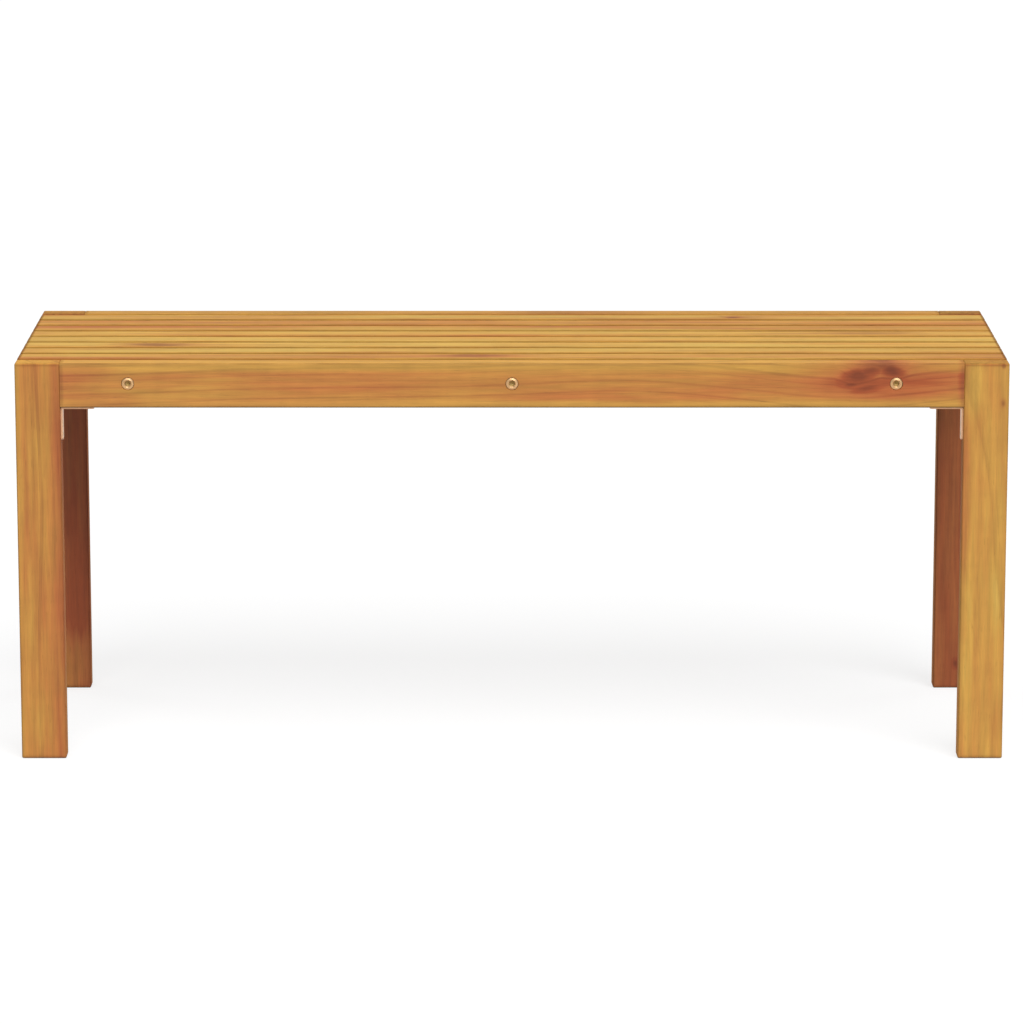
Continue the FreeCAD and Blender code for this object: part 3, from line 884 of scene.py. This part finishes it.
class BENCH_OT_stage(bpy.types.Operator):
    """Set up the floor, the light and the camera"""
    bl_idname = "bench.stage"
    bl_label = "Stage"

    def execute(self, context):
        look = context.scene.bench_stage
        self.floor(look)
        self.bounce(look)
        self.sky(look)
        self.light("key_light", look.key, look.key_height, look.key_side, look.key_width)
        for name, side in (("left_fill", -look.fill_side), ("right_fill", look.fill_side)):
            fill = self.light(name, look.fill, look.fill_height, side, look.fill_width)
            fill.visible_glossy = False
        self.camera(look)
        context.scene.view_settings.view_transform = "Standard"
        return {"FINISHED"}

    def floor(self, look):
        """The pale floor that is seen. It sends no light to the bench."""
        graph = Graph("pale_floor")
        place = graph.add("ShaderNodeTexCoord", output="Object")
        clouds = graph.noise(place, scale=CLOUD_RATE) - 0.5
        material = graph.finish({
            "Base Color": graph.scale((*look.floor,), clouds * CLOUD_SHARE + 1),
            "Roughness": FLOOR_ROUGHNESS,
            "Specular IOR Level": 0.0,
            "Emission Color": WHITE,
            "Emission Strength": look.floor_glow})
        plane = self.plane("studio_floor", look.floor_radius, -FLOOR_DROP, material)
        plane.visible_diffuse = False

    def bounce(self, look):
        """An unseen plane just under the floor that sends light up to the bench."""
        shade = (look.bounce, look.bounce, look.bounce)
        material = Graph("bounce_floor").finish({"Base Color": opaque(shade), "Roughness": FLOOR_ROUGHNESS})
        plane = self.plane("bounce_floor", look.floor_radius, -BOUNCE_DROP, material)
        plane.visible_camera = False
        plane.visible_glossy = False

    def plane(self, name, radius, height, material):
        mesh = bpy.data.meshes.new(name)
        shape = bmesh.new()
        bmesh.ops.create_grid(shape, x_segments=1, y_segments=1, size=radius)
        bmesh.ops.translate(shape, vec=(0, 0, height), verts=shape.verts)
        shape.to_mesh(mesh)
        shape.free()
        mesh.materials.append(material)
        plane = bpy.data.objects.new(name, mesh)
        bpy.context.scene.collection.objects.link(plane)
        return plane

    def sky(self, look):
        world = bpy.data.worlds.new("soft_studio")
        world.use_nodes = True
        background = world.node_tree.nodes["Background"]
        background.inputs["Color"].default_value = WHITE
        background.inputs["Strength"].default_value = look.sky
        bpy.context.scene.world = world

    def light(self, name, energy, height, side, width):
        """A distant light that fills some width of the sky, at an angle above the floor and to the right."""
        light = bpy.data.lights.new(name, "SUN")
        light.energy = energy
        light.angle = width
        lamp = bpy.data.objects.new(name, light)
        towards = Vector((math.sin(side) * math.cos(height), -math.cos(side) * math.cos(height),
                          math.sin(height)))
        lamp.rotation_euler = towards.to_track_quat("Z", "Y").to_euler()
        bpy.context.scene.collection.objects.link(lamp)
        return lamp

    def camera(self, look):
        data = bpy.data.cameras.new("front_camera")
        data.lens = look.camera_lens
        data.sensor_width = SENSOR_WIDTH
        data.clip_end = SIGHT
        camera = bpy.data.objects.new("front_camera", data)
        camera.location = (0, -look.camera_distance, look.camera_height)
        camera.rotation_euler = (math.pi / 2 - look.camera_pitch, 0, 0)
        bpy.context.scene.collection.objects.link(camera)
        bpy.context.scene.camera = camera


OPERATORS = (BENCH_OT_legs, BENCH_OT_aprons, BENCH_OT_slats, BENCH_OT_bearers, BENCH_OT_bolts,
             BENCH_OT_brackets, BENCH_OT_dowels, BENCH_OT_stage)


class BENCH_PT_panel(bpy.types.Panel):
    """Lists the bench's groups of pieces and their settings"""
    bl_idname = "BENCH_PT_panel"
    bl_label = "Slatted garden bench"
    bl_space_type = "VIEW_3D"
    bl_region_type = "UI"
    bl_category = "Bench"

    def draw(self, context):
        for operator in OPERATORS:
            self.layout.operator(operator.bl_idname)
        scene = context.scene
        for title, settings in (("Wood", scene.bench_wood), ("Metal", scene.bench_metal),
                                ("Stage", scene.bench_stage)):
            box = self.layout.box()
            box.label(text=title)
            for name in settings.__annotations__:
                box.prop(settings, name)


SETTINGS = {"bench_wood": WoodSettings, "bench_metal": MetalSettings, "bench_stage": StageSettings}


def register():
    for group in SETTINGS.values():
        bpy.utils.register_class(group)
    for operator in OPERATORS:
        bpy.utils.register_class(operator)
    bpy.utils.register_class(BENCH_PT_panel)
    for name, group in SETTINGS.items():
        setattr(bpy.types.Scene, name, bpy.props.PointerProperty(type=group))


def unregister():
    for name in SETTINGS:
        delattr(bpy.types.Scene, name)
    bpy.utils.unregister_class(BENCH_PT_panel)
    for operator in reversed(OPERATORS):
        bpy.utils.unregister_class(operator)
    for group in reversed(SETTINGS.values()):
        bpy.utils.unregister_class(group)


def main():
    register()
    bpy.ops.bench.legs()
    bpy.ops.bench.aprons()
    bpy.ops.bench.slats()
    bpy.ops.bench.bearers()
    bpy.ops.bench.bolts()
    bpy.ops.bench.brackets()
    bpy.ops.bench.dowels()
    bpy.ops.bench.stage()


if __name__ == "__main__":
    main()
